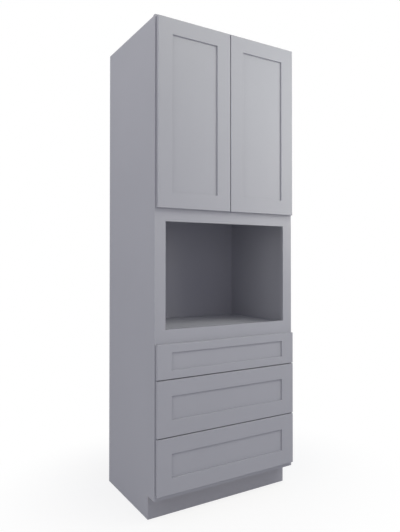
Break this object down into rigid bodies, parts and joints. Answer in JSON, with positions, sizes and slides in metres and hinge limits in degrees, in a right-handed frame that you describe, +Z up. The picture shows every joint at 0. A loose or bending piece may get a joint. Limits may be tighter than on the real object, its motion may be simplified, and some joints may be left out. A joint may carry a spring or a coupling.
{
  "type": "tall oven cabinet",
  "caption": "Tall framed kitchen cabinet with an open bay for a built-in oven, hinged shaker doors above it and shaker drawers below, on a recessed toe board.",
  "frame": {"origin": "floor under the centre of the closed cabinet's outer box, door fronts included", "axes": "+Z up, -Y towards the user (doors and drawers open that way), +X to the right as the user faces the cabinet"},
  "size_m": [0.8382, 0.6306, 2.4432],
  "materials": {
    "cabinet_paint": "satin grey paint on wood and plywood",
    "inside_paint": "matt grey finish on plywood",
    "bare_plywood": "unfinished plywood",
    "maple": "clear lacquered maple",
    "zinc_steel": "zinc plated sheet",
    "nickel_steel": "nickel plated"
  },
  "bodies": {
    "carcass": {"left_side_panel": "cabinet_paint", "right_side_panel": "cabinet_paint", "top_panel": "inside_paint", "upper_deck": "inside_paint", "oven_deck": "inside_paint", "bottom_deck": "inside_paint", "back_panel": "inside_paint", "hanging_rails": "bare_plywood", "toe_board": "cabinet_paint", "frame_left_stile": "cabinet_paint", "frame_right_stile": "cabinet_paint", "frame_top_rail": "cabinet_paint", "frame_upper_oven_rail": "cabinet_paint", "frame_lower_oven_rail": "cabinet_paint", "frame_drawer_rails": "cabinet_paint", "frame_bottom_rail": "cabinet_paint", "oven_opening_stiles": "cabinet_paint", "adjustable_shelves": "inside_paint", "shelf_pins": "zinc_steel", "oven_deck_cleats": "bare_plywood", "hinge_arms": "nickel_steel", "slide_rails": "zinc_steel", "slide_rear_brackets": "zinc_steel"},
    "left_door": {"left_door_hinge_stile": "cabinet_paint", "left_door_lock_stile": "cabinet_paint", "left_door_rails": "cabinet_paint", "left_door_panel": "cabinet_paint", "left_hinge_cups": "nickel_steel"},
    "left_hinge_link": {"left_hinge_links": "nickel_steel"},
    "right_door": {"right_door_hinge_stile": "cabinet_paint", "right_door_lock_stile": "cabinet_paint", "right_door_rails": "cabinet_paint", "right_door_panel": "cabinet_paint", "right_hinge_cups": "nickel_steel"},
    "right_hinge_link": {"right_hinge_links": "nickel_steel"},
    "top_drawer": {"top_drawer_front_stiles": "cabinet_paint", "top_drawer_front_rails": "cabinet_paint", "top_drawer_front_panel": "cabinet_paint", "top_drawer_sides": "maple", "top_drawer_ends": "maple", "top_drawer_bottom": "maple", "top_drawer_slide_runners": "zinc_steel"},
    "top_slide_middle": {"top_drawer_slide_middles": "zinc_steel"},
    "middle_drawer": {"middle_drawer_front_stiles": "cabinet_paint", "middle_drawer_front_rails": "cabinet_paint", "middle_drawer_front_panel": "cabinet_paint", "middle_drawer_sides": "maple", "middle_drawer_ends": "maple", "middle_drawer_bottom": "maple", "middle_drawer_slide_runners": "zinc_steel"},
    "middle_slide_middle": {"middle_drawer_slide_middles": "zinc_steel"},
    "bottom_drawer": {"bottom_drawer_front_stiles": "cabinet_paint", "bottom_drawer_front_rails": "cabinet_paint", "bottom_drawer_front_panel": "cabinet_paint", "bottom_drawer_sides": "maple", "bottom_drawer_ends": "maple", "bottom_drawer_bottom": "maple", "bottom_drawer_slide_runners": "zinc_steel"},
    "bottom_slide_middle": {"bottom_drawer_slide_middles": "zinc_steel"}
  },
  "joints": [
    {"name": "left_door_swing", "type": "hinge", "parent": "carcass", "child": "left_door", "pos_m": [-0.406, -0.31228, 1.9], "axis": [0, 0, -1], "range_deg": [0, 105]},
    {"name": "left_hinge_link_swing", "type": "hinge", "parent": "carcass", "child": "left_hinge_link", "pos_m": [-0.406, -0.31228, 1.9], "axis": [0, 0, -1], "range_deg": [0, 42]},
    {"name": "right_door_swing", "type": "hinge", "parent": "carcass", "child": "right_door", "pos_m": [0.406, -0.31228, 1.9], "axis": [0, 0, 1], "range_deg": [0, 105]},
    {"name": "right_hinge_link_swing", "type": "hinge", "parent": "carcass", "child": "right_hinge_link", "pos_m": [0.406, -0.31228, 1.9], "axis": [0, 0, 1], "range_deg": [0, 42]},
    {"name": "top_drawer_slide", "type": "slide", "parent": "carcass", "child": "top_drawer", "axis": [0, -1, 0], "range_m": [0, 0.508]},
    {"name": "top_slide_middle_slide", "type": "slide", "parent": "carcass", "child": "top_slide_middle", "axis": [0, -1, 0], "range_m": [0, 0.254]},
    {"name": "middle_drawer_slide", "type": "slide", "parent": "carcass", "child": "middle_drawer", "axis": [0, -1, 0], "range_m": [0, 0.508]},
    {"name": "middle_slide_middle_slide", "type": "slide", "parent": "carcass", "child": "middle_slide_middle", "axis": [0, -1, 0], "range_m": [0, 0.254]},
    {"name": "bottom_drawer_slide", "type": "slide", "parent": "carcass", "child": "bottom_drawer", "axis": [0, -1, 0], "range_m": [0, 0.508]},
    {"name": "bottom_slide_middle_slide", "type": "slide", "parent": "carcass", "child": "bottom_slide_middle", "axis": [0, -1, 0], "range_m": [0, 0.254]}
  ],
  "couplings": [
    {"joint": "left_hinge_link_swing", "follows": "left_door_swing", "ratio": 0.4},
    {"joint": "right_hinge_link_swing", "follows": "right_door_swing", "ratio": 0.4},
    {"joint": "top_slide_middle_slide", "follows": "top_drawer_slide", "ratio": 0.5},
    {"joint": "middle_slide_middle_slide", "follows": "middle_drawer_slide", "ratio": 0.5},
    {"joint": "bottom_slide_middle_slide", "follows": "bottom_drawer_slide", "ratio": 0.5}
  ]
}
